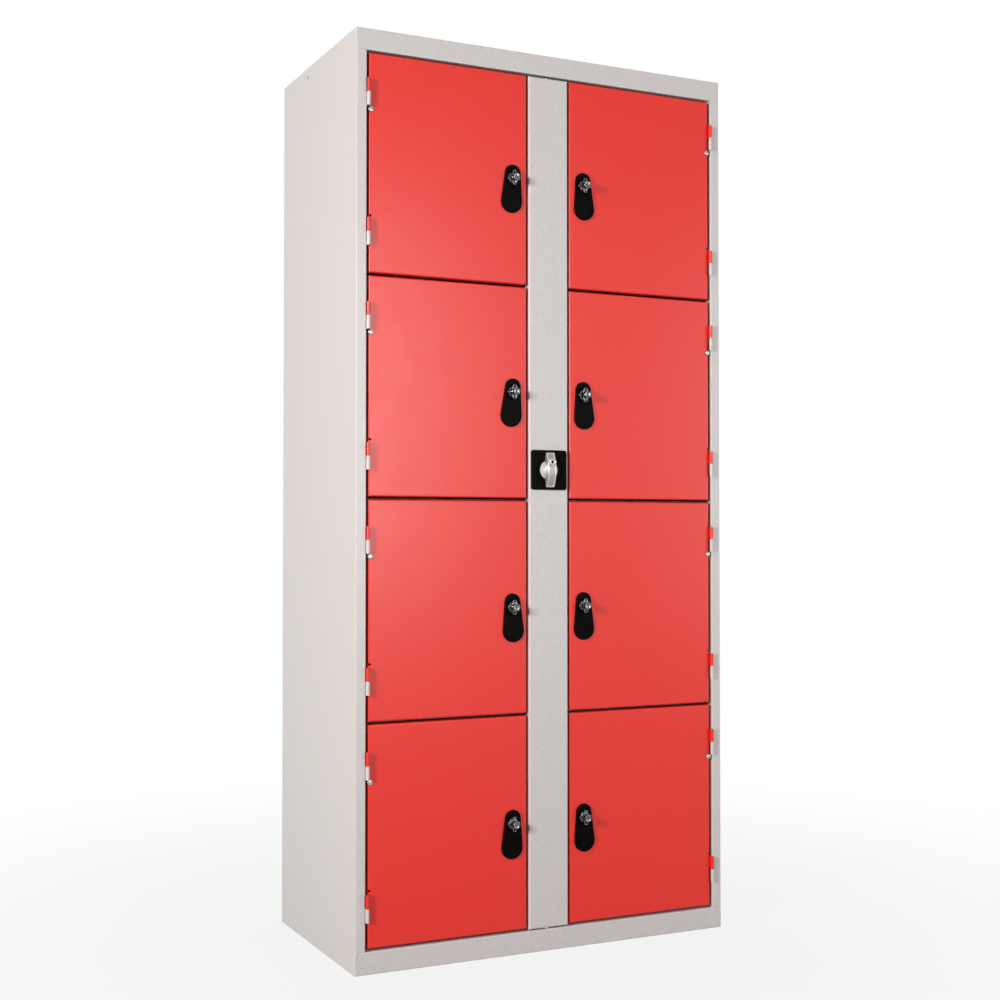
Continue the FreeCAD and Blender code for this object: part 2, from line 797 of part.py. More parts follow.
# Assembly


def build():
    """Writes every node."""
    os.makedirs("parts", exist_ok=True)
    side = right_side_panel()
    save("right_side_panel", side)
    save("left_side_panel", mirrored(side))
    save("top_panel", top_panel())
    save("base_panel", base_panel())
    save("back_panel", back_panel())
    partition = right_partition()
    save("right_partition", partition)
    save("left_partition", mirrored(partition))
    shelves = right_shelves()
    save("right_shelves", *shelves)
    save("left_shelves", *[mirrored(shelf) for shelf in shelves])

    levels = [z for top in door_tops() for z in hinge_bottoms(top)]
    leaves = [frame_knuckle(z) for z in levels]
    save("frame_hinge_leaves", *leaves, *[mirrored(leaf) for leaf in leaves])
    pins = [hinge_pin(z) for z in levels]
    save("hinge_pins", *pins, *[mirrored(pin) for pin in pins])

    save("centre_post", centre_post())
    save("rod_guides", *rod_guides())
    save("handle_rosette", handle_rosette())
    save("rosette_nut", rosette_nut())
    save("turn_handle", turn_handle())
    save("handle_lock", handle_lock())
    save("rod_lever", rod_lever())
    save("upper_rod", moved(upper_rod(), 0, handle_height))
    save("lower_rod", moved(lower_rod(), 0, handle_height))

    alike = {
        "door": door(),
        "fixings": [hasp_collar(), hasp_back_nut()],
        "knob": [hasp_knob()],
        "cam": [latch_cam()],
    }
    for column in ("left", "right"):
        for row, door_top in enumerate(door_tops()):
            tilt = pull_tilt[column][row]
            pieces = dict(alike, pull=[pull_plate(tilt if column == "right" else -tilt)])
            for name, solids in pieces.items():
                placed = [moved(solid, 0, door_top - door_height) for solid in solids]
                if column == "left":
                    placed = [mirrored(solid) for solid in placed]
                save("%s_%s_%d" % (column, name, row + 1), *placed)


build()
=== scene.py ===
# %% [markdown]
# # A steel locker with eight doors
#
# The locker is folded sheet steel: a grey carcass, red door trays on lift-off hinges and a
# grey centre post that locks with a turn handle. The CAD frame already holds every sheet,
# hinge and rod at its true size, so this lesson dresses it. The small turned, cast and moulded
# pieces are made again as smooth surfaces, and every sheet gets its powder coat.

# %% Load the frame
import json
import math

import bmesh
import bpy
import numpy as np
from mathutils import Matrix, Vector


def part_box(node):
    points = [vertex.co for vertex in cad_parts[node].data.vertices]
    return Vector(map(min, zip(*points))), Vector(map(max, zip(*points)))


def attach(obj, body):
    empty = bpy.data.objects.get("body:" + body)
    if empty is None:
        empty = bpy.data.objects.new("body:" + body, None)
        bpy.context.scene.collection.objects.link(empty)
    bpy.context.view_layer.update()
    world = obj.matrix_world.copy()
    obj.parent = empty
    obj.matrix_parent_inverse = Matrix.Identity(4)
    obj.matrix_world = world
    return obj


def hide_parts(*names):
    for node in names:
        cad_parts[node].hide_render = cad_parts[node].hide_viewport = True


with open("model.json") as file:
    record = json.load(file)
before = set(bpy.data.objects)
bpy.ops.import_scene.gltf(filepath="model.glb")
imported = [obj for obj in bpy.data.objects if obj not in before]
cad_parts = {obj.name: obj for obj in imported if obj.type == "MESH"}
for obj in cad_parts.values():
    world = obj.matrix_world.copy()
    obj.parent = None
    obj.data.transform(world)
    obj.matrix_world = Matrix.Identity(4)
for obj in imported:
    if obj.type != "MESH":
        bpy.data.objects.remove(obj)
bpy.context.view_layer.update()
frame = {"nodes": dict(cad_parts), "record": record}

# %% [markdown]
# ## Surfaces from loops
#
# Nearly all of the small pieces can be described as a closed loop that changes as it moves:
# a knob is a circle that grows and shrinks, a pull plate is a teardrop drawn inwards from its
# edge. So one helper is enough. It takes stacks of loops, joins each loop to the next with
# quads, merges the points where a loop shrinks to nothing, and turns all faces outwards.
# Modelling by hand would work too, but arrays keep every size readable.

# %% One piece from stacks of loops
MM = 0.001
SHARP = math.radians(38)
WELD = 2e-6


def loop_quads(rows, columns, ring):
    """Quads of a stack of closed loops: point j of loop i joins point j + 1 and the same two of the
    next loop. With ring, the last loop also joins the first."""
    steps = np.arange(rows if ring else rows - 1)
    i, j = np.meshgrid(steps, np.arange(columns), indexing="ij")
    below, beside = (i + 1) % rows, (j + 1) % columns
    corners = [i * columns + j, below * columns + j, below * columns + beside, i * columns + beside]
    return np.stack(corners, axis=-1).reshape(-1, 4)


def loop_mesh(name, stacks):
    """Smooth mesh from (loops, ring) stacks in millimetres, welded and with its faces turned outwards."""
    points, quads, count = [], [], 0
    for loops, ring in stacks:
        rows, columns, _ = loops.shape
        points.append(loops.reshape(-1, 3) * MM)
        quads.append(loop_quads(rows, columns, ring) + count)
        count += rows * columns
    mesh = bpy.data.meshes.new(name)
    mesh.from_pydata(np.concatenate(points).tolist(), [], np.concatenate(quads).tolist())
    work = bmesh.new()
    work.from_mesh(mesh)
    bmesh.ops.remove_doubles(work, verts=work.verts, dist=WELD)
    bmesh.ops.recalc_face_normals(work, faces=work.faces)
    work.to_mesh(mesh)
    work.free()
    mesh.polygons.foreach_set("use_smooth", np.ones(len(mesh.polygons), dtype=bool))
    mesh.set_sharp_from_angle(angle=SHARP)
    return mesh


def make_piece(name, stacks, material, body, node=None, painted_shade_share=None):
    """Piece from stacks of loops, riding on a body. It may stand for a CAD node. A function of the
    points' x, y and z may give each point a share of painted shade, which is kept as an attribute."""
    mesh = loop_mesh(name, stacks)
    mesh.materials.append(material)
    if painted_shade_share:
        spots = np.empty(3 * len(mesh.vertices))
        mesh.vertices.foreach_get("co", spots)
        shares = np.clip(painted_shade_share(*(spots.reshape(-1, 3).T / MM)), 0, 1)
        mesh.attributes.new("painted_shade_share", "FLOAT", "POINT").data.foreach_set("value", shares)
    piece = bpy.data.objects.new(name, mesh)
    bpy.context.scene.collection.objects.link(piece)
    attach(piece, body)
    if node:
        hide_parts(node)


print("helper ready: make_piece")

# %% [markdown]
# ## Loop shapes
#
# Four outlines come back again and again. A circle and a six-sided nut are a radius for each
# angle. A rounded square is walked along its edge. A teardrop is the tight band round a large
# and a small circle: each of its points is a centre, a direction and a radius, so an inset
# only has to shorten the radius.

# %% Circle, rounded rectangle, hexagon and teardrop
def circle(radius, angles):
    """Points at one radius for each angle, as x and z."""
    return np.stack([radius * np.cos(angles), radius * np.sin(angles)], axis=-1)


def rounded_rectangle(half_x, half_z, corner, count):
    """Rectangle with quarter-circle corners: the corner arcs in turn, with even steps on the straights."""
    arc = np.linspace(0, np.pi / 2, count // 8)
    middles = np.array([(1, 1), (-1, 1), (-1, -1), (1, -1)]) * (half_x - corner, half_z - corner)
    arcs = [middle + circle(corner, arc + turn * np.pi / 2) for turn, middle in enumerate(middles)]
    pairs = zip(arcs, arcs[1:] + arcs[:1])
    sides = [np.linspace(a[-1], b[0], count // 8 + 2)[1:-1] for a, b in pairs]
    return np.concatenate([part for pair in zip(arcs, sides) for part in pair])


def hexagon(across_corners, angles):
    """Six-sided outline: the distance to a flat divided by the cosine of the angle from its middle."""
    flat = across_corners * math.cos(math.pi / 6)
    from_flat = (angles % (np.pi / 3)) - np.pi / 6
    return circle(flat / np.cos(from_flat), angles)


def teardrop(base_radius, tip_radius, reach, count):
    """Band round a base circle at the origin and a tip circle above it. Each point is given as a direction
    angle, a centre height and a radius, so the point itself is centre + radius * direction."""
    lean = math.asin((base_radius - tip_radius) / reach)
    quarter = count // 4
    step = np.linspace(0, 1, quarter, endpoint=False)
    still, ones = np.zeros(quarter), np.ones(quarter)
    angle = np.concatenate([lean + step * (np.pi - 2 * lean), ones * (np.pi - lean),
                            np.pi - lean + step * (np.pi + 2 * lean), ones * lean])
    climb = np.concatenate([ones, 1 - step, still, step])
    return angle, climb * reach, base_radius + climb * (tip_radius - base_radius)


print("outlines ready: circle, rounded rectangle, hexagon, teardrop")

# %% [markdown]
# ## From outlines to loops
#
# An outline lies in the plane of the doors, x to the right and z up. A loop also has a depth y,
# which grows towards the back. Turned pieces are circles at the radii and depths of a profile,
# and their edges are broken with small quarter circles, as a lathe hand would do with a file.

# %% Depth, soft steps, turned pieces and broken edges
def at_depth(outline, y):
    """Loop of points from x, z pairs, all at the same y."""
    return np.stack([outline[:, 0], np.full(len(outline), y), outline[:, 1]], axis=-1)


def smooth_step(value):
    """0 below 0, 1 above 1 and a soft S between."""
    t = np.clip(value, 0, 1)
    return t * t * (3 - 2 * t)


def turned(profile, count=72):
    """Solid of revolution about Y: one circle for each (radius, y) of the profile."""
    angles = np.linspace(0, 2 * np.pi, count, endpoint=False)
    return np.stack([at_depth(circle(radius, angles), y) for radius, y in profile])


def bevel(radius, y, size, steps=5):
    """Quarter circle that rounds the edge of a turned front face: (radius, y) pairs from the face to the
    side, with the sine of the turn outwards and 1 minus its cosine backwards."""
    turn = np.linspace(0, np.pi / 2, steps)
    return list(zip(radius - size + size * np.sin(turn), y + size * (1 - np.cos(turn))))


def behind(start, pairs):
    """Profile points from (radius, depth) pairs whose depth is counted from a start."""
    return [(radius, start + depth) for radius, depth in pairs]


print("loops ready: at_depth, turned, bevel")

# %% [markdown]
# ## Noise for the finishes
#
# Real finishes are never one flat colour. Every finish here starts from noise on the object's
# own coordinates, which keeps its scale on every sheet, large or small. An image could hold the
# same, but it would have to be fitted to each sheet. The noise mostly stays between 0.3 and 0.7,
# so that range is spread over the colours and the gloss. The relief takes it as it is.

# %% Helpers for materials
NOISE_LOW, NOISE_HIGH = 0.3, 0.7


def new_finish(name):
    """Material with its Principled shader and object coordinates, a helper that adds a node and links
    its inputs, and one that joins a socket to the shader."""
    material = bpy.data.materials.new(name)
    material.use_nodes = True
    tree = material.node_tree
    shader = tree.nodes["Principled BSDF"]
    place = tree.nodes.new("ShaderNodeTexCoord").outputs["Object"]

    def add(kind, links=(), **values):
        node = tree.nodes.new(kind)
        for key, value in values.items():
            if hasattr(node, key):
                setattr(node, key, value)
            else:
                node.inputs[key.replace("_", " ").title()].default_value = value
        for socket, source in dict(links).items():
            tree.links.new(source, node.inputs[socket])
        return node

    def join(source, socket):
        tree.links.new(source, shader.inputs[socket])

    return material, shader, place, add, join


def grain(add, place, scale, detail=2.0, roughness=0.5):
    """Noise whose features are about 1 / scale metres across."""
    noise = add("ShaderNodeTexNoise", {"Vector": place}, scale=scale, detail=detail, roughness=roughness)
    return noise.outputs["Fac"]


def spread(add, source, low, high):
    """Noise value carried to a range of numbers."""
    node = add("ShaderNodeMapRange", {"Value": source})
    node.inputs["From Min"].default_value = NOISE_LOW
    node.inputs["From Max"].default_value = NOISE_HIGH
    node.inputs["To Min"].default_value = low
    node.inputs["To Max"].default_value = high
    return node.outputs["Result"]


def tint(add, source, dark, light):
    """Noise value carried between two colours."""
    ramp = add("ShaderNodeValToRGB", {"Fac": source})
    for element, position, colour in zip(ramp.color_ramp.elements, (NOISE_LOW, NOISE_HIGH), (dark, light)):
        element.position = position
        element.color = (*colour, 1)
    return ramp.outputs["Color"]


def laid_over(add, share, colour, top):
    """Colour that goes over to another one where the share is 1. Sockets 6 and 7 of the Mix node are its
    two colours, and output 2 is the mixed one."""
    mix = add("ShaderNodeMix", {0: share, 6: colour}, data_type="RGBA")
    mix.inputs[7].default_value = (*top, 1)
    return mix.outputs[2]


def relief(add, layers):
    """Bumps laid over each other from (height, depth in metres) pairs."""
    normal = None
    for height, depth in layers:
        links = {"Height": height}
        if normal is not None:
            links["Normal"] = normal
        bump = add("ShaderNodeBump", links)
        bump.inputs["Strength"].default_value = 1.0
        bump.inputs["Distance"].default_value = depth
        normal = bump.outputs["Normal"]
    return normal


print("material helpers ready")

# %% [markdown]
# ## Painted shade behind the gaps
#
# Where two doors meet, a strip of the shelf behind them is painted black, and so is the lip
# above the top doors. This black is painted shade, so that the gaps read as black lines. The
# strip has no shape of its own. It is flat and comes back with every door, so a few sums on the
# coordinates say where the paint is darkened.

# %% Share of the painted gap shade
def number(add, operation, source, *values):
    """Math node on a number: the other operands are constants, or links where they are sockets."""
    node = add("ShaderNodeMath", {0: source}, operation=operation)
    for index, value in enumerate(values, 1):
        if isinstance(value, float):
            node.inputs[index].default_value = value
        else:
            node.id_data.links.new(value, node.inputs[index])
    return node.outputs[0]


def gap_shade_share(add, place, gap_shade):
    """1 where shade is painted behind a gap: within half a width of a gap's height, which comes back at every
    pitch, within reach of the shelf front's plane and on a face that looks to the front."""
    where = add("ShaderNodeSeparateXYZ", {"Vector": place})
    facing = add("ShaderNodeSeparateXYZ", {"Vector": place.node.outputs["Normal"]})
    clearly_forward = -0.5
    ahead = number(add, "LESS_THAN", facing.outputs["Y"], clearly_forward)
    above = number(add, "SUBTRACT", where.outputs["Z"], gap_shade["z"])
    from_gap = number(add, "PINGPONG", above, gap_shade["pitch"] / 2)
    level = number(add, "COMPARE", from_gap, 0.0, gap_shade["width"] / 2)
    plane = number(add, "COMPARE", where.outputs["Y"], gap_shade["y"], gap_shade["reach"])
    return number(add, "MULTIPLY", number(add, "MULTIPLY", level, plane), ahead)


upper_gap = (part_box("left_door_1")[0].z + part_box("left_door_2")[1].z) / 2
lower_gap = (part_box("left_door_3")[0].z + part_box("left_door_4")[1].z) / 2
shelf_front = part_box("left_shelves")[0].y
# Painted shade: a black matt strip on the shelf fronts and the top lip behind the door gaps.
painted_gap_shade = {"z": upper_gap, "pitch": (upper_gap - lower_gap) / 2, "width": 0.012,
             "y": shelf_front - 0.00025, "reach": 0.00055, "colour": (0.012, 0.012, 0.012)}
print("tape at every", round(painted_gap_shade["pitch"], 4), "m from", round(upper_gap, 4), "m")

# %% [markdown]
# ## Powder coat
#
# The sheets are sprayed with powder and baked. The skin is satin, with a fine orange-peel
# relief about a millimetre across, tiny lighter and darker grains, and, over a hand's width,
# the slow waves of thin folded sheet that bend its reflections. Each of these is one noise at
# its own scale, and the gloss is left almost even, because uneven gloss shows as stains.

# %% Materials: powder coat
COAT = {"speck": 420, "cloud": 25, "peel": 600, "wave": 3.5, "peel_depth": 0.00002, "wave_depth": 0.0003,
        "glossier": 0.01, "duller": 0.015, "ior": 1.5}


def powder_coat(name, colour, contrast, rough, gap_shade=None):
    """Satin baked paint: speckled colour, nearly even gloss, orange peel and slow sheet waves. It may
    carry painted shade behind the door gaps, black and matt."""
    material, shader, place, add, join = new_finish(name)
    dark = tuple(c * (1 - contrast) for c in colour)
    light = tuple(min(1.0, c * (1 + contrast)) for c in colour)
    skin = tint(add, grain(add, place, COAT["speck"]), dark, light)
    cloud = grain(add, place, COAT["cloud"], detail=0.0)
    haze = spread(add, cloud, rough - COAT["glossier"], rough + COAT["duller"])
    if gap_shade:
        share = gap_shade_share(add, place, gap_shade)
        skin = laid_over(add, share, skin, gap_shade["colour"])
        haze = number(add, "MAXIMUM", haze, share)
    join(skin, "Base Color")
    join(haze, "Roughness")
    peel = grain(add, place, COAT["peel"], detail=1.0)
    wave = grain(add, place, COAT["wave"], detail=0.0)
    join(relief(add, [(wave, COAT["wave_depth"]), (peel, COAT["peel_depth"])]), "Normal")
    shader.inputs["IOR"].default_value = COAT["ior"]
    return material


carcass_paint = powder_coat("carcass_paint", (0.547, 0.524, 0.522), contrast=0.08, rough=0.34,
                            gap_shade=painted_gap_shade)
door_paint = powder_coat("door_paint", (0.70, 0.018, 0.008), contrast=0.04, rough=0.31)
print("paints:", carcass_paint.name, door_paint.name)

# %% [markdown]
# ## Metal and moulding finishes
#
# The hasps are polished plate, so they are nearly pure reflection with a trace of buffing
# haze. Pins, rods and cams are zinc plated, which is dull and cloudy. The turn handle is a
# casting with a satin silver lacquer: most of its light is mirrored, the rest is scattered by
# the lacquer's flakes, and the field inside its rim is painted darker, as painted shade in the
# recess. The pull plates and the plate under the handle are black mouldings with a fine
# spark-eroded grain, and the rod guides are natural nylon.

# %% Materials: plate, zinc, casting and mouldings
def bare_metal(name, dark, light, gloss, cloud, pit, pit_scale, metallic=1.0, shade_colour=None):
    """Metal with a cloudy colour, uneven gloss and shallow pits. Where a piece carries a share of painted
    shade, its colour goes over to the darker shade colour."""
    material, shader, place, add, join = new_finish(name)
    shader.inputs["Metallic"].default_value = metallic
    colour = tint(add, grain(add, place, cloud, detail=3.0, roughness=0.6), dark, light)
    if shade_colour:
        depth = add("ShaderNodeAttribute", attribute_name="painted_shade_share")
        colour = laid_over(add, depth.outputs["Fac"], colour, shade_colour)
    join(colour, "Base Color")
    finer_than_clouds = 2.3
    join(spread(add, grain(add, place, cloud * finer_than_clouds), *gloss), "Roughness")
    join(relief(add, [(grain(add, place, pit_scale), pit)]), "Normal")
    return material


def moulding(name, dark, light, gloss, shine, grain_depth, grain_scale):
    """Moulded plastic: even colour with a faint flow, satin gloss and an eroded grain."""
    material, shader, place, add, join = new_finish(name)
    shader.inputs["Specular IOR Level"].default_value = shine
    flow_scale = 60
    flow = grain(add, place, flow_scale)
    join(tint(add, flow, dark, light), "Base Color")
    join(spread(add, flow, *gloss), "Roughness")
    eroded = grain(add, place, grain_scale, roughness=0.6)
    join(relief(add, [(eroded, grain_depth)]), "Normal")
    return material


# Painted reflection: the hasp colour is kept far darker than chrome, as if the plate mirrored a dark room.
hasp_plate = bare_metal("hasp_plate", (0.10, 0.10, 0.104), (0.15, 0.15, 0.154), gloss=(0.06, 0.12),
                        cloud=180, pit=0.000004, pit_scale=1500)
zinc_plate = bare_metal("zinc_plate", (0.30, 0.31, 0.30), (0.42, 0.42, 0.40), gloss=(0.22, 0.38),
                        cloud=90, pit=0.00001, pit_scale=1200)
# Painted shade: the darker shade colour lies in the grip's sunk panel and on the key boss face.
handle_cast = bare_metal("handle_cast", (0.48, 0.46, 0.45), (0.56, 0.54, 0.53), gloss=(0.28, 0.38),
                         cloud=150, pit=0.000012, pit_scale=1100, metallic=0.7, shade_colour=(0.31, 0.29, 0.285))
# Painted shade: the near-black shade colour fills the key recess, the slot and the groove round the plug.
key_nickel = bare_metal("key_nickel", (0.56, 0.55, 0.54), (0.64, 0.63, 0.62), gloss=(0.08, 0.13),
                        cloud=200, pit=0.000006, pit_scale=1500, shade_colour=(0.012, 0.011, 0.010))
black_mould = moulding("black_mould", (0.0012, 0.0009, 0.0008), (0.003, 0.0022, 0.0022), gloss=(0.30, 0.40),
                       shine=0.025, grain_depth=0.00003, grain_scale=1400)
guide_nylon = moulding("guide_nylon", (0.66, 0.65, 0.60), (0.74, 0.73, 0.69), gloss=(0.45, 0.55),
                       shine=0.4, grain_depth=0.00001, grain_scale=900)
finishes = {"carcass_grey": carcass_paint, "door_red": door_paint, "moulding_black": black_mould,
            "hasp_chrome": hasp_plate, "zinc_steel": zinc_plate, "handle_silver": handle_cast,
            "guide_plastic": guide_nylon}
print("finishes:", sorted(finishes))

# %% [markdown]
# ## Finishes on the CAD sheets
#
# The record names a finish for each node. The sheets, hinges, rods and cams keep their CAD
# shape, so they only need their slots filled.

# %% Dress the CAD nodes
for entry in frame["record"]["subparts"]:
    slots = frame["nodes"][entry["node"]].data.materials
    slots.clear()
    slots.append(finishes[entry["material_slot"]])

# %% [markdown]
# ## Where the hasps are
#
# Every door has a hasp with its pull plate behind it. The knob's CAD box gives the spindle's
# place. The plates were set by hand at the works, so each hangs a few degrees off plumb; the
# angles are those of the photograph, positive when the lower end swings to the right.

# %% Spindles and tilts
tilts = {"left": (-2.5, -4.0, 2.0, -1.7), "right": (2.6, 2.4, 1.0, 2.0)}
hasps = []
for column, angles_down in tilts.items():
    for row, tilt in enumerate(angles_down, 1):
        low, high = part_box("%s_knob_%d" % (column, row))
        hasps.append({"side": column, "door": "%s_door_%d" % (column, row),
                      "hasp": "%s_hasp_%d" % (column, row), "name": "%s_%%s_%d" % (column, row),
                      "tilt": math.radians(tilt),
                      "x": (low.x + high.x) / 2 / MM, "z": (low.z + high.z) / 2 / MM})
door_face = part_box("left_pull_1")[1].y / MM


def set_at(loops, place, tilt=0.0):
    """Copy of loops drawn about the Y axis, turned in the door's plane and moved to a spindle."""
    x, y, z = loops[..., 0], loops[..., 1], loops[..., 2]
    c, s = math.cos(tilt), math.sin(tilt)
    return np.stack([x * c - z * s + place["x"], y, x * s + z * c + place["z"]], axis=-1)


print("hasps:", len(hasps), "door face at", round(door_face, 2))

# %% [markdown]
# ## Pull plates
#
# The pull plate is a flat black moulding in the shape of a drop. Its rounded rim gives the
# fingers an edge to pull by, and the hasp sits in a shallow round dish. Each loop is the drop's
# outline drawn in by some distance, and the height is a function of that distance: up the
# side, round the rim, then flat to the middle. The dish is pressed into that height by the
# distance from the spindle.

# %% Make the pull plates
PULL = {"base": 22.9, "tip": 16.8, "above": 27.0, "below": 70.0, "thick": 4.0, "rim": 1.3, "foot": 0.35,
        "dish": 14.5, "dish_wall": 1.0, "dish_depth": 0.8}


def pull_plate_loops(count=240, rows=46):
    """Drop drawn in from its edge: at share k of the way in, a point is the centre plus (1 - k) times the
    radius along its direction. Its height follows a quarter circle over the rim's width and stays level
    after it. The first two loops are the flat back and the third is the foot of the side."""
    reach = PULL["above"] - PULL["tip"] + PULL["below"] - PULL["base"]
    angle, climb, radius = teardrop(PULL["base"], PULL["tip"], reach, count)
    rim_share = PULL["rim"] / PULL["base"]
    share = np.concatenate([[1.0, 0.02, 0.0], np.linspace(0.0, rim_share, 7)[1:],
                            np.linspace(rim_share, 1, rows)[1:]])[:, None]
    width = (1 - share) * radius
    x = width * np.cos(angle)
    z = climb + width * np.sin(angle) + PULL["base"] - PULL["below"]
    inset = np.clip(share * radius / PULL["rim"], 0, 1)
    height = PULL["thick"] - PULL["rim"] + PULL["rim"] * np.sqrt(1 - (1 - inset) ** 2)
    into_dish = PULL["dish"] + PULL["dish_wall"] / 2 - np.hypot(x, z)
    height = height - PULL["dish_depth"] * smooth_step(into_dish / PULL["dish_wall"])
    height[:2] = 0.0
    height[2] = PULL["foot"]
    return np.stack([x, door_face - height, z], axis=-1)


plate = pull_plate_loops()
for place in hasps:
    make_piece(place["name"] % "pull_plate", [(set_at(plate, place, place["tilt"]), False)], black_mould,
               place["door"], place["name"] % "pull")
print("pull plates: %d loops of %d points, 8 pieces" % plate.shape[:2])

# %% [markdown]
# ## Lugs, eyes and threads
#
# A padlock goes through holes in flat lugs, and a nut holds each hasp from behind. A lug or an
# eye is a ring of loops: from the hole out over the front, round the edge, over the back and
# into the hole again. A thread could be carved by a screw modifier. Here it is the barrel's
# circle with its radius swinging along a helix, which stays one closed surface.

# %% Plates with a hole, and the threaded barrel
def holed_plate(base_radius, tip_radius, reach, hole, y0, y1, edge, count=96):
    """Drop-shaped plate with a round hole at its tip: loops go from the hole over the front to the outline,
    round the edge, over the back and into the hole again. Every edge is broken in two steps."""
    angle, climb, radius = teardrop(base_radius, tip_radius, reach, count)
    middle = np.array([0.0, reach])

    def outline(inset):
        return np.stack([(radius - inset) * np.cos(angle), climb + (radius - inset) * np.sin(angle)], axis=-1)

    towards = outline(0.0) - middle
    hole_angle = np.arctan2(towards[:, 1], towards[:, 0])

    def hole_loop(grow):
        return middle + circle(hole + grow, hole_angle)

    soft = edge * 0.3
    halfway = (hole_loop(edge) + outline(edge)) / 2
    steps = [(hole_loop(0), y0 + edge), (hole_loop(soft), y0 + soft), (hole_loop(edge), y0), (halfway, y0),
             (outline(edge), y0), (outline(soft), y0 + soft), (outline(0.0), y0 + edge),
             (outline(0.0), y1 - edge), (outline(soft), y1 - soft), (outline(edge), y1), (halfway, y1),
             (hole_loop(edge), y1), (hole_loop(soft), y1 - soft), (hole_loop(0), y1 - edge)]
    return np.stack([at_depth(points, y) for points, y in steps])


def quarter_turned(loops, quarters):
    """The same loops turned by right angles about the Y axis."""
    c, s = round(math.cos(quarters * math.pi / 2)), round(math.sin(quarters * math.pi / 2))
    x, y, z = loops[..., 0], loops[..., 1], loops[..., 2]
    return np.stack([x * c - z * s, y, x * s + z * c], axis=-1)


def threaded_barrel(radius, core, pitch, y0, y1, count=60, rows_per_turn=8, end_inset=0.3):
    """Barrel whose radius swings between crest and root by the cosine of (angle + turns along Y), with a loop
    inside it at either end, so that a ring of loops closes it."""
    rows = int((y1 - y0) / pitch * rows_per_turn)
    angles = np.linspace(0, 2 * np.pi, count, endpoint=False)
    y = np.linspace(y0, y1, rows)[:, None]
    swing = 0.5 + 0.5 * np.cos(angles + 2 * np.pi * y / pitch)
    r = core + (radius - core) * swing
    r = np.pad(r, ((1, 1), (0, 0)), constant_values=core - end_inset)
    y = np.pad(y, ((1, 1), (0, 0)), mode="edge")
    return np.stack([r * np.cos(angles), np.broadcast_to(y, r.shape), r * np.sin(angles)], axis=-1)


print("shapes ready: holed_plate, threaded_barrel")

# %% [markdown]
# ## Hasp collars and their nuts
#
# The collar is the part of the hasp that never turns. It is turned from bar with a flange that
# clamps the pull plate, and has a lug with a hole on either side for the padlock's shackle.
# Behind the door its threaded barrel takes a six-sided nut. The turned part is a profile of
# radii and depths, so every step of it can be read off like a turner's sketch.

# %% Make the collars
COLLAR = {"bore": 5.1, "lead": 0.3, "body": 8.0, "edge": 0.5, "stand": 5.0, "flange": 10.5, "flange_at": 2.9,
          "flange_edge": 0.6, "barrel": 8.2, "crest": 8.68, "root": 8.0, "pitch": 1.5, "reach": 9.0}
HOLLOW = ((8.0, 1.6), (8.4, 2.4), (9.6, 2.75))
LUG = {"tip": 3.5, "reach": 10.2, "hole": 2.4, "thick": 2.6, "edge": 0.45}
NUT = {"bore": 8.75, "lead": 9.2, "washer": 11.3, "corners": 13.0, "flats_from": 0.6, "flats_to": 4.3,
       "lead_from": 4.7, "thick": 5.0}
DOOR_SHEET = 1.0
CLEARANCE = 0.1
collar_seat = door_face - PULL["thick"] + PULL["dish_depth"]
neck = collar_seat - COLLAR["stand"]
sheet_back = door_face + DOOR_SHEET
barrel_end = sheet_back + COLLAR["reach"]
collar_profile = [(COLLAR["bore"], barrel_end - CLEARANCE), (COLLAR["bore"], neck + COLLAR["lead"]),
                  (COLLAR["bore"] + COLLAR["lead"], neck)]
collar_profile += bevel(COLLAR["body"], neck, COLLAR["edge"])
collar_profile += behind(neck, HOLLOW)
collar_profile += bevel(COLLAR["flange"], neck + COLLAR["flange_at"], COLLAR["flange_edge"])
collar_profile += [(COLLAR["flange"], collar_seat), (COLLAR["barrel"], collar_seat),
                   (COLLAR["barrel"], barrel_end - CLEARANCE), (COLLAR["bore"], barrel_end - CLEARANCE)]
lug = holed_plate(COLLAR["body"], LUG["tip"], LUG["reach"], LUG["hole"], neck, neck + LUG["thick"],
                  LUG["edge"])
thread = threaded_barrel(COLLAR["crest"], COLLAR["root"], COLLAR["pitch"], sheet_back, barrel_end)
angles = np.linspace(0, 2 * np.pi, 96, endpoint=False)
nut_bore, nut_lead = circle(NUT["bore"], angles), circle(NUT["lead"], angles)
nut_washer, nut_flats = circle(NUT["washer"], angles), hexagon(NUT["corners"], angles)
nut_steps = [(nut_bore, CLEARANCE), (nut_washer, CLEARANCE), (nut_flats, NUT["flats_from"]),
             (nut_flats, NUT["flats_to"]), (nut_washer, NUT["thick"]), (nut_lead, NUT["thick"]),
             (nut_bore, NUT["lead_from"])]
nut = np.stack([at_depth(points, sheet_back + depth) for points, depth in nut_steps])
collar_parts = [(turned(collar_profile), False), (quarter_turned(lug, 1), True),
                (quarter_turned(lug, -1), True), (thread, True), (nut, True)]
for place in hasps:
    make_piece(place["name"] % "hasp_collar", [(set_at(loops, place), ring) for loops, ring in collar_parts],
               hasp_plate, place["door"], place["name"] % "fixings")
print("collars with lugs, thread and nut: 8")

# %% [markdown]
# ## Hasp knobs
#
# The knob turns a quarter turn and carries the latch cam behind the door. Its face is lightly
# dished inside a polished rim, and an eye stands above and below it: turned level, the eyes
# come in front of the collar's lugs and the padlock goes through both. The spindle runs back
# through the collar to the cam. It is one more turned profile, with two holed plates.

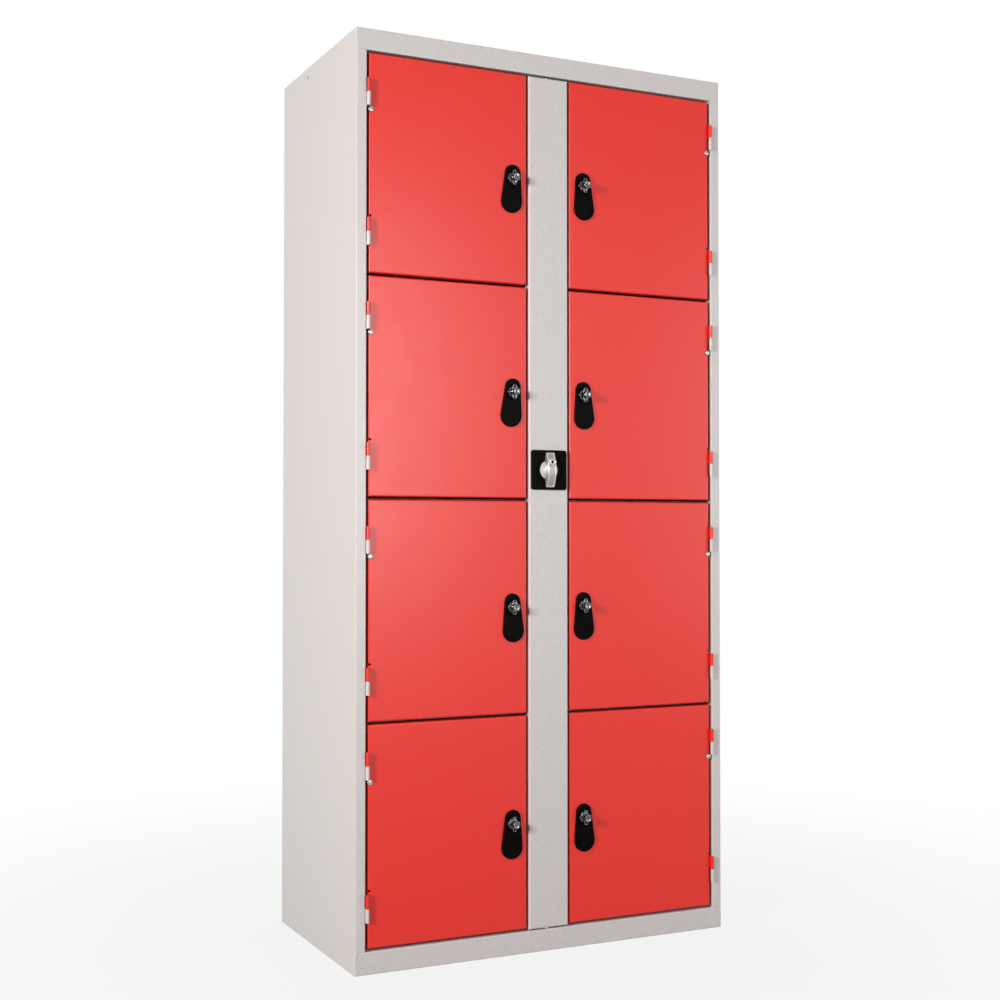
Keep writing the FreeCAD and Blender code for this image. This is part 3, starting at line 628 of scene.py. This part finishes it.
# %% Make the knobs
KNOB = {"radius": 7.5, "stand": 18.0, "foot": 5.4, "edge": 1.0, "chamfer": 0.3, "spindle": 5.0}
KNOB_DISH = ((0.0, 0.85), (2.2, 0.8), (4.4, 0.55), (5.5, 0.12), (5.8, 0.0))
KNOB_GROOVE = ((7.5, 6.6), (7.2, 6.9), (7.2, 7.5), (7.5, 7.8))
EYE = {"tip": 4.0, "reach": 11.0, "hole": 2.4, "thick": 3.0, "edge": 0.6}
CAM_DEPTH = 17.0
knob_front = collar_seat - KNOB["stand"]
knob_back = collar_seat - KNOB["foot"]
cam_front = door_face + CAM_DEPTH
knob_profile = behind(knob_front, KNOB_DISH) + bevel(KNOB["radius"], knob_front, KNOB["edge"])
knob_profile += behind(knob_front, KNOB_GROOVE)
knob_profile += [(KNOB["radius"], knob_back - KNOB["chamfer"]), (KNOB["radius"] - KNOB["chamfer"], knob_back),
                 (KNOB["spindle"], knob_back), (KNOB["spindle"], cam_front), (0.0, cam_front)]
eye = holed_plate(KNOB["radius"], EYE["tip"], EYE["reach"], EYE["hole"], knob_back - EYE["thick"], knob_back,
                  EYE["edge"])
knob_parts = [(turned(knob_profile), False), (eye, True), (quarter_turned(eye, 2), True)]
for place in hasps:
    make_piece(place["name"] % "hasp_knob", [(set_at(loops, place), ring) for loops, ring in knob_parts],
               hasp_plate, place["hasp"], place["name"] % "knob")
print("knobs with two eyes: 8")

# %% [markdown]
# ## Screws
#
# One pan-head screw per door sits in the slot below the upper hinge. Its head stands under the
# frame's knuckle, so the door can't be lifted off. A second, lower one holds the cam on its
# spindle. The head is a shallow dome, and the cross recess is pressed into it: the depth falls
# off with the distance to the nearer arm of the cross. Each screw stopped at its own angle when
# it was driven, so each is turned by an angle taken from its height.

# %% Make the screws
def pan_head(radius, height, seat, outward, arm, arm_width, depth, rings=26, count=96):
    """Dome over a low wall, with (1 - (r / R) ** 4) under a root, and a cross recess: inside the arms' width
    and length the surface drops by depth."""
    wall_share, width_step, arm_step = 0.35, 0.25, 0.5
    share = np.linspace(0, 1, rings)[:, None]
    angles = np.linspace(0, 2 * np.pi, count, endpoint=False)[None, :]
    x, z = radius * share * np.cos(angles), radius * share * np.sin(angles)
    dome = np.sqrt(np.clip(1 - share ** 4, 0, 1)) + 0 * angles
    stand = height * (wall_share + (1 - wall_share) * dome)
    across = np.minimum(np.abs(x), np.abs(z))
    along = np.maximum(np.abs(x), np.abs(z))
    in_width = smooth_step((arm_width - across) / width_step + 0.5)
    cross = in_width * smooth_step((arm - along) / arm_step + 0.5)
    top = np.stack([x, seat + outward * (stand - depth * cross), z], axis=-1)
    foot = np.stack([at_depth(circle(radius, angles[0]), seat), at_depth(circle(0.0, angles[0]), seat)])
    return np.concatenate([top, foot])


CAM_THICK = 2.5
HINGE_DROP, HINGE_LENGTH = 51.0, 52.4
SCREW_DROP, SCREW_X = 5.6, 382.3
ANTI_LIFT_TURN, CAM_SCREW_TURN = 0.4, 0.3
anti_lift = pan_head(radius=5.3, height=3.0, seat=door_face, outward=-1,
                     arm=2.9, arm_width=0.66, depth=1.3)
cam_screw = pan_head(radius=5.0, height=2.2, seat=cam_front + CAM_THICK, outward=1,
                     arm=2.7, arm_width=0.62, depth=1.0)
for place in hasps:
    hinge_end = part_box(place["door"])[1].z / MM - HINGE_DROP - HINGE_LENGTH
    below_hinge = {"x": SCREW_X if place["side"] == "right" else -SCREW_X, "z": hinge_end - SCREW_DROP}
    anti_lift_here = set_at(anti_lift, below_hinge, ANTI_LIFT_TURN + place["z"])
    cam_screw_here = set_at(cam_screw, place, CAM_SCREW_TURN + place["z"])
    make_piece(place["name"] % "anti_lift_screw", [(anti_lift_here, False)], zinc_plate, place["door"])
    make_piece(place["name"] % "cam_screw", [(cam_screw_here, False)], zinc_plate, place["hasp"])
print("screws: 16")

# %% [markdown]
# ## The plate under the turn handle
#
# A square black moulding with rounded corners covers the hole in the post. A round dish takes
# the handle's dome, with a soft step round it. The loops start at the square's back edge, come
# round the rim and then change from square to circle, each circle point lying on the same ray
# from the centre as its square point.

# %% Make the handle plate
HANDLE_HEIGHT = 961.0
PLATE = {"half": 40.0, "corner": 5.5, "thick": 3.5, "rim": 1.0, "back_inset": 0.15, "dish": 30.6,
         "dish_wall": 1.2, "dish_depth": 2.8, "neck": 11.0, "neck_end": 4.9, "bore": 8.1}
SQUARE_TO_CIRCLE = (0.25, 0.5, 0.75, 0.92, 1.0)
DISH_RINGS = (27.0, 24.0, 21.0, 12.0, PLATE["bore"])
axis = {"x": 0.0, "z": HANDLE_HEIGHT}
post_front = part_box("centre_post")[0].y / MM
plate_front = post_front - PLATE["thick"]


def shrunk_square(inset):
    """The square outline drawn in by an inset, with its corners still quarter circles."""
    half = PLATE["half"] - inset
    return rounded_rectangle(half, half, PLATE["corner"] - inset, 192)


square = shrunk_square(0.0)
square_angle = np.arctan2(square[:, 1], square[:, 0])


def plate_ring(radius, y):
    """Circle whose points lie on the rays of the square's points."""
    return at_depth(circle(radius, square_angle), y)


neck_back = post_front + PLATE["neck_end"]
dish_floor = plate_front + PLATE["dish_depth"]
plate_loops = [plate_ring(PLATE["bore"], neck_back), plate_ring(PLATE["neck"], neck_back),
               plate_ring(PLATE["neck"], post_front),
               at_depth(shrunk_square(PLATE["back_inset"]), post_front)]
for turn in np.linspace(0, np.pi / 2, 6):
    inset, drop = PLATE["rim"] * (1 - math.cos(turn)), PLATE["rim"] * (1 - math.sin(turn))
    plate_loops.append(at_depth(shrunk_square(inset), plate_front + drop))
outer, inner = shrunk_square(PLATE["rim"]), circle(PLATE["dish"], square_angle)
plate_loops += [at_depth(outer + (inner - outer) * t, plate_front) for t in SQUARE_TO_CIRCLE]
for t in np.linspace(0.1, 1, 8):
    sink = PLATE["dish_depth"] * float(smooth_step(t))
    plate_loops.append(plate_ring(PLATE["dish"] - PLATE["dish_wall"] * t, plate_front + sink))
plate_loops += [plate_ring(radius, dish_floor) for radius in DISH_RINGS]
make_piece("handle_plate", [(set_at(np.stack(plate_loops), axis), True)], black_mould, "post",
           "handle_rosette")
print("handle plate: %d loops" % len(plate_loops))

# %% [markdown]
# ## The turn handle
#
# The handle is one casting: a low round cap and, across it, a grip that bows out towards the
# hand. The grip's face is sunk inside a raised rim, and a round boss near its upper end holds
# the key plug. The grip is a cross-section carried along its length. The front follows a
# parabola, the back steps down into the plate's dish, and the sunk panel is pressed into the
# front by the distance to the nearest edge.

# %% The grip's surface
GRIP = {"half": 35.0, "width": 9.0, "front_mid": 15.0, "front_end": 5.9, "back_mid": -0.6, "back_end": 1.7,
        "web": 27.0, "web_step": 3.5, "rim": 2.2, "panel": 1.3, "panel_wall": 0.8, "round": 1.5, "edge": 1.0,
        "back_edge": 0.8, "seat": 1.2}
grip_bow = GRIP["front_mid"] - GRIP["front_end"]
grip_seat = plate_front + GRIP["seat"]


def grip_front(z):
    """How far the front stands off at a place along the length: end + bow * (1 - (z / half) ** 2)."""
    return GRIP["front_end"] + grip_bow * (1 - (z / GRIP["half"]) ** 2)


def panel_share(from_edge):
    """0 on the rim and 1 in the sunk panel, by the distance from the nearest edge."""
    return smooth_step((from_edge - GRIP["rim"]) / GRIP["panel_wall"])


def grip_loops(rows=84, crowding=0.55):
    """Section of two sides, a back and a finely divided front, set closer together near the ends. The front
    is a parabola, and the back steps down into the dish over the web's length. At the ends the section draws
    in by a quarter circle."""
    crowded = np.sin(np.linspace(-np.pi / 2, np.pi / 2, rows))
    length = crowded * crowding + np.linspace(-1, 1, rows) * (1 - crowding)
    z = (length * GRIP["half"])[:, None]
    left = np.clip(GRIP["half"] - np.abs(z), 0, GRIP["round"])
    inset = GRIP["round"] - np.sqrt(GRIP["round"] ** 2 - (GRIP["round"] - left) ** 2)
    front = grip_front(z) - inset
    web = smooth_step((GRIP["web"] + GRIP["web_step"] - np.abs(z)) / GRIP["web_step"])
    back = GRIP["back_end"] + (GRIP["back_mid"] - GRIP["back_end"]) * web + inset
    half = GRIP["width"] - inset
    r, b = GRIP["edge"], GRIP["back_edge"]
    corner = np.linspace(0, np.pi / 2, 6)[None, :]
    face_x = np.linspace(-1, 1, 41)[None, :] * (half - r)
    from_edge = np.minimum(half - np.abs(face_x), GRIP["half"] - np.abs(z))
    face_y = front - GRIP["panel"] * panel_share(from_edge)
    right_x, right_y = half - r + r * np.sin(corner), front - r + r * np.cos(corner)
    left_x, left_y = -(half - r) - r * np.cos(corner), front - r + r * np.sin(corner)
    low_x = np.concatenate([half + 0 * z, half - b, -half + b, -half + 0 * z], axis=1)
    low_y = np.concatenate([back + b, back, back, back + b], axis=1)
    x = np.concatenate([face_x, right_x, low_x, left_x], axis=1)
    stand = np.concatenate([face_y, right_y, low_y, left_y], axis=1)
    loops = np.stack([x, grip_seat - stand, np.broadcast_to(z, x.shape)], axis=-1)
    ends = [np.broadcast_to(loop.mean(axis=0), loop.shape)[None] for loop in (loops[0], loops[-1])]
    return np.concatenate([ends[0], loops, ends[1]])


grip = grip_loops()
print("grip: %d loops of %d points" % grip.shape[:2])

# %% [markdown]
# ## Cap and key boss
#
# The cap is a slice of a ball that sits in the plate's dish, with the handle's shaft behind it.
# The boss is a short tube on the grip, and its face stands a little above the arc that runs
# through the grip's ends and middle. Both are turned profiles. The sunk panel and the boss face
# are painted darker, as painted shade, so each point of the casting gets its share of it.

# %% Make the handle
CAP = {"radius": 19.6, "dome": 19.3, "height": 5.4, "edge": 0.1, "in_dish": 2.7, "shaft": 7.9,
       "shaft_end": 5.4}
BOSS = {"height": 15.5, "radius": 8.6, "bore": 6.96, "mouth": 7.25, "lead": 0.35, "edge": 0.5, "stand": 2.2,
        "shoulder": 7.8, "length": 9.0, "shade": 0.8}


def ball_radius(half_chord, rise):
    """Radius of the arc that rises by so much over half its chord."""
    return (half_chord ** 2 + rise ** 2) / (2 * rise)


cap_seat = plate_front + CAP["in_dish"]
shaft_end = post_front + CAP["shaft_end"]
ball = ball_radius(CAP["radius"], CAP["height"])
dome_radii = CAP["dome"] * np.linspace(0, 1, 22)
cap_profile = [(r, cap_seat - CAP["height"] + ball - math.sqrt(ball ** 2 - r ** 2)) for r in dome_radii]
cap_profile += [(CAP["radius"], cap_seat - CAP["edge"]), (CAP["radius"] - CAP["edge"], cap_seat),
                (CAP["shaft"], cap_seat), (CAP["shaft"], shaft_end), (0.0, shaft_end)]
bend = ball_radius(GRIP["half"], grip_bow)
arc_drop = bend - math.sqrt(bend ** 2 - BOSS["height"] ** 2)
boss_front = grip_seat - GRIP["front_mid"] + arc_drop - BOSS["stand"]
boss_profile = behind(boss_front, ((BOSS["bore"], BOSS["shoulder"]), (BOSS["bore"], BOSS["lead"]),
                                   (BOSS["mouth"], 0.0)))
boss_profile += bevel(BOSS["radius"], boss_front, BOSS["edge"])
boss_profile += behind(boss_front, ((BOSS["radius"], BOSS["length"]), (BOSS["bore"], BOSS["length"]),
                                    (BOSS["bore"], BOSS["shoulder"])))
to_boss = np.array([0.0, 0.0, BOSS["height"]])


def panel_painted_shade(x, y, z):
    """Share of painted shade: 1 inside the rim on the grip's front, 0 on the rim and the cap, and most of
    it on the boss, whose face is painted darker too."""
    z = z - HANDLE_HEIGHT
    near_boss, boss_depth, near_panel = BOSS["radius"] + 0.4, 2.0, 0.9
    on_boss = (np.hypot(x, z - BOSS["height"]) < near_boss) & (y < boss_front + boss_depth)
    from_edge = np.minimum(GRIP["width"] - np.abs(x), GRIP["half"] - np.abs(z))
    on_front = np.abs(grip_seat - y - grip_front(z) + GRIP["panel"]) < near_panel
    return np.maximum(panel_share(from_edge) * on_front, BOSS["shade"] * on_boss)


handle_parts = [grip, turned(cap_profile, 96), turned(boss_profile) + to_boss]
make_piece("turn_handle_casting", [(set_at(loops, axis), False) for loops in handle_parts], handle_cast,
           "handle", "turn_handle", panel_painted_shade)
print("grip, cap and key boss made; boss face at", round(boss_front, 2))

# %% [markdown]
# ## The key plug
#
# The plug is a small nickel-plated cylinder. Its face has a round recess with the key's slot at
# the bottom of it; the recess, the slot and the groove round the plug are painted near black, as
# painted shade. The loops grow out of the slot's floor, up its walls, open to a circle and then
# follow the face to the rim.

# %% Make the key plug
SLOT = {"half_width": 0.95, "half_height": 2.7, "corner": 0.6, "floor": 3.4, "top": 1.3}
PLUG_FACE = ((2.9, 1.25), (3.0, 0.5), (3.1, 0.2), (3.3, 0.03), (3.5, 0.0), (3.7, 0.0), (5.4, 0.0), (5.6, 0.0),
             (6.0, 0.05), (6.4, 0.4), (6.5, 1.0), (6.9, 1.2), (6.9, 7.4), (0.0, 7.4))
slot_outline = rounded_rectangle(SLOT["half_width"], SLOT["half_height"], SLOT["corner"], 96)
slot_angle = np.arctan2(slot_outline[:, 1], slot_outline[:, 0])
slot_floor = boss_front + SLOT["floor"]
plug_loops = [at_depth(slot_outline * 0.0, slot_floor), at_depth(slot_outline, slot_floor),
              at_depth(slot_outline, boss_front + SLOT["top"])]
plug_loops += [at_depth(circle(radius, slot_angle), y) for radius, y in behind(boss_front, PLUG_FACE)]
plug = np.stack(plug_loops) + to_boss


def keyhole_painted_shade(x, y, z):
    """Share of painted shade: 1 in the recess and the slot, and in the groove round the plug; 0 on the face.
    """
    recess_edge, groove_edge, blur = 3.3, 6.3, 0.2
    from_axis = np.hypot(x, z - HANDLE_HEIGHT - BOSS["height"])
    in_recess = smooth_step((recess_edge - from_axis) / blur)
    return np.maximum(in_recess, smooth_step((from_axis - groove_edge) / blur))


make_piece("key_plug_cylinder", [(set_at(plug, axis), False)], key_nickel, "key_plug",
           "handle_lock", keyhole_painted_shade)
print("key plug: %d loops" % len(plug_loops))

# %% [markdown]
# ## White for the lens
#
# The photograph was taken in a bright white studio. Glowing walls would do, but they would also
# light the locker. So the white here is for the camera and for reflections only, which the
# Light Path node can tell apart from the rays that carry light.

# %% Helpers for the studio
def lens_share(tree):
    """1 for rays from the camera, from a glossy bounce or through glass, and 0 for the rest."""
    path = tree.nodes.new("ShaderNodeLightPath")
    share = path.outputs["Is Camera Ray"]
    for kind in ("Is Glossy Ray", "Is Transmission Ray"):
        larger = tree.nodes.new("ShaderNodeMath")
        larger.operation = "MAXIMUM"
        tree.links.new(share, larger.inputs[0])
        tree.links.new(path.outputs[kind], larger.inputs[1])
        share = larger.outputs[0]
    return share


def between(tree, source, low, high, start=0.0, end=1.0):
    """Number carried from start-end to low-high with soft ends."""
    node = tree.nodes.new("ShaderNodeMapRange")
    node.interpolation_type = "SMOOTHSTEP"
    for socket, value in (("From Min", start), ("From Max", end), ("To Min", low), ("To Max", high)):
        node.inputs[socket].default_value = value
    tree.links.new(source, node.inputs["Value"])
    return node.outputs["Result"]


print("studio helpers ready")

# %% [markdown]
# ## Floor and background
#
# A real studio has a curved paper sweep; here a wide floor and the world do the same, and both
# are plain white to the lens. A weak share of the world's white is left as light from all
# round. Near the locker the floor goes over to a matt grey that still takes the shadow.

# %% Floor and background
FLOOR = {"half": 40.0, "drop": 0.0004, "matt": 0.3, "white_near": 0.86, "fade_start": 0.4, "fade_end": 2.2}
AMBIENT = 0.15
floor_mesh = bpy.data.meshes.new("studio_floor")
floor_corners = [(x * FLOOR["half"], y * FLOOR["half"], -FLOOR["drop"])
                 for x, y in ((-1, -1), (1, -1), (1, 1), (-1, 1))]
floor_mesh.from_pydata(floor_corners, [], [(0, 1, 2, 3)])
floor = bpy.data.objects.new("studio_floor", floor_mesh)
bpy.context.scene.collection.objects.link(floor)

floor_paint = bpy.data.materials.new("floor_white")
floor_paint.use_nodes = True
tree = floor_paint.node_tree
tree.nodes.clear()
away = tree.nodes.new("ShaderNodeVectorMath")
away.operation = "LENGTH"
tree.links.new(tree.nodes.new("ShaderNodeTexCoord").outputs["Object"], away.inputs[0])
whiteness = between(tree, away.outputs["Value"], FLOOR["white_near"], 1.0,
                    FLOOR["fade_start"], FLOOR["fade_end"])
paper = tree.nodes.new("ShaderNodeMath")
paper.operation = "MULTIPLY"
tree.links.new(lens_share(tree), paper.inputs[0])
tree.links.new(whiteness, paper.inputs[1])
matt = tree.nodes.new("ShaderNodeBsdfDiffuse")
matt.inputs["Color"].default_value = (FLOOR["matt"], FLOOR["matt"], FLOOR["matt"], 1)
white = tree.nodes.new("ShaderNodeEmission")
mix = tree.nodes.new("ShaderNodeMixShader")
for index, source in enumerate((paper, matt, white)):
    tree.links.new(source.outputs[0], mix.inputs[index])
tree.links.new(mix.outputs[0], tree.nodes.new("ShaderNodeOutputMaterial").inputs["Surface"])
floor_mesh.materials.append(floor_paint)

world = bpy.data.worlds.new("studio")
bpy.context.scene.world = world
world.use_nodes = True
sky_tree = world.node_tree
sky = sky_tree.nodes["Background"]
sky.inputs["Color"].default_value = (1, 1, 1, 1)
sky_tree.links.new(between(sky_tree, lens_share(sky_tree), AMBIENT, 1.0), sky.inputs["Strength"])
print("floor and background are white to the camera")

# %% [markdown]
# ## Light
#
# The shadows in the photograph say where the lamps were. Each hasp throws a wide soft shadow
# to the right, two to three times as long as the hasp is tall, so the main soft box stands far
# round to the left and only a little above the middle of the locker. The left side panel is as
# bright as the doors, so a second box looks straight at it. A panel in front gives the doors
# their pale sheen, and a wide weak one fills from the right. Three more light the faces that
# the photograph hides, so that they read as the same paint in other views. They stand behind
# the plane of the doors, and they are left out of reflections so that no panel mirrors them.

# %% Lights
def soft_box(name, place, target, width, height, power, colour=(1, 1, 1)):
    """Area light that looks from its place to a target."""
    lamp = bpy.data.lights.new(name, "AREA")
    lamp.shape = "RECTANGLE"
    lamp.size, lamp.size_y = width, height
    lamp.energy = power
    lamp.color = colour
    box = bpy.data.objects.new(name, lamp)
    bpy.context.scene.collection.objects.link(box)
    gaze = np.array(target, dtype=float) - np.array(place, dtype=float)
    tilt_up = math.acos(-gaze[2] / np.linalg.norm(gaze))
    box.location = place
    box.rotation_euler = (tilt_up, 0, math.atan2(gaze[1], gaze[0]) - math.pi / 2)
    box.visible_camera = False
    return box


warm = (1.0, 0.95, 0.89)
soft_box("key_left", (-4.12, -2.01, 1.75), (-0.05, -0.2, 1.0), 0.7, 0.6, 200, warm)
soft_box("side_left", (-1.8, -0.1, 1.05), (-0.4, 0.0, 1.05), 0.6, 0.6, 2, warm)
soft_box("front_panel", (0.58, -3.75, 1.34), (-0.2, -0.2, 1.1), 1.1, 1.5, 46)
soft_box("right_fill", (3.0, -2.5, 1.2), (0.2, -0.2, 0.8), 1.6, 1.6, 32)
unseen = [soft_box("rear_fill", (0.5, 4.2, 2.2), (0, 0.2, 0.9), 2.4, 2.0, 85),
          soft_box("side_right", (3.2, 1.1, 1.5), (0.4, 0.0, 0.9), 1.2, 1.2, 42),
          soft_box("overhead", (0.0, 0.6, 4.2), (0.0, 0.3, 1.8), 1.0, 0.8, 40)]
for box in unseen:
    box.visible_glossy = False
print("lights:", len(bpy.data.lights))

# %% [markdown]
# ## Camera
#
# The camera stands where the photographer stood: a little to the left, at half the locker's
# height and about three metres away. It was found by matching the straight edges of the carcass,
# the post and the gaps between the doors with those of the photograph.

# %% Camera
PICTURE_WIDTH, FOCAL_PIXELS = 1000, 1500.08
SENSOR = 36.0
CAMERA_PLACE = (-1.4053, -2.88805, 0.8348)
CAMERA_TILT, CAMERA_HEADING = 91.2516, -25.8806
camera = bpy.data.cameras.new("photo_camera")
camera.sensor_fit = "HORIZONTAL"
camera.sensor_width = SENSOR
camera.lens = FOCAL_PIXELS / PICTURE_WIDTH * SENSOR
camera.clip_end = 100
photographer = bpy.data.objects.new("photo_camera", camera)
bpy.context.scene.collection.objects.link(photographer)
photographer.location = CAMERA_PLACE
photographer.rotation_euler = (math.radians(CAMERA_TILT), 0, math.radians(CAMERA_HEADING))
bpy.context.scene.camera = photographer
bpy.context.scene.view_settings.view_transform = "Standard"
print("camera lens", round(camera.lens, 2), "mm")
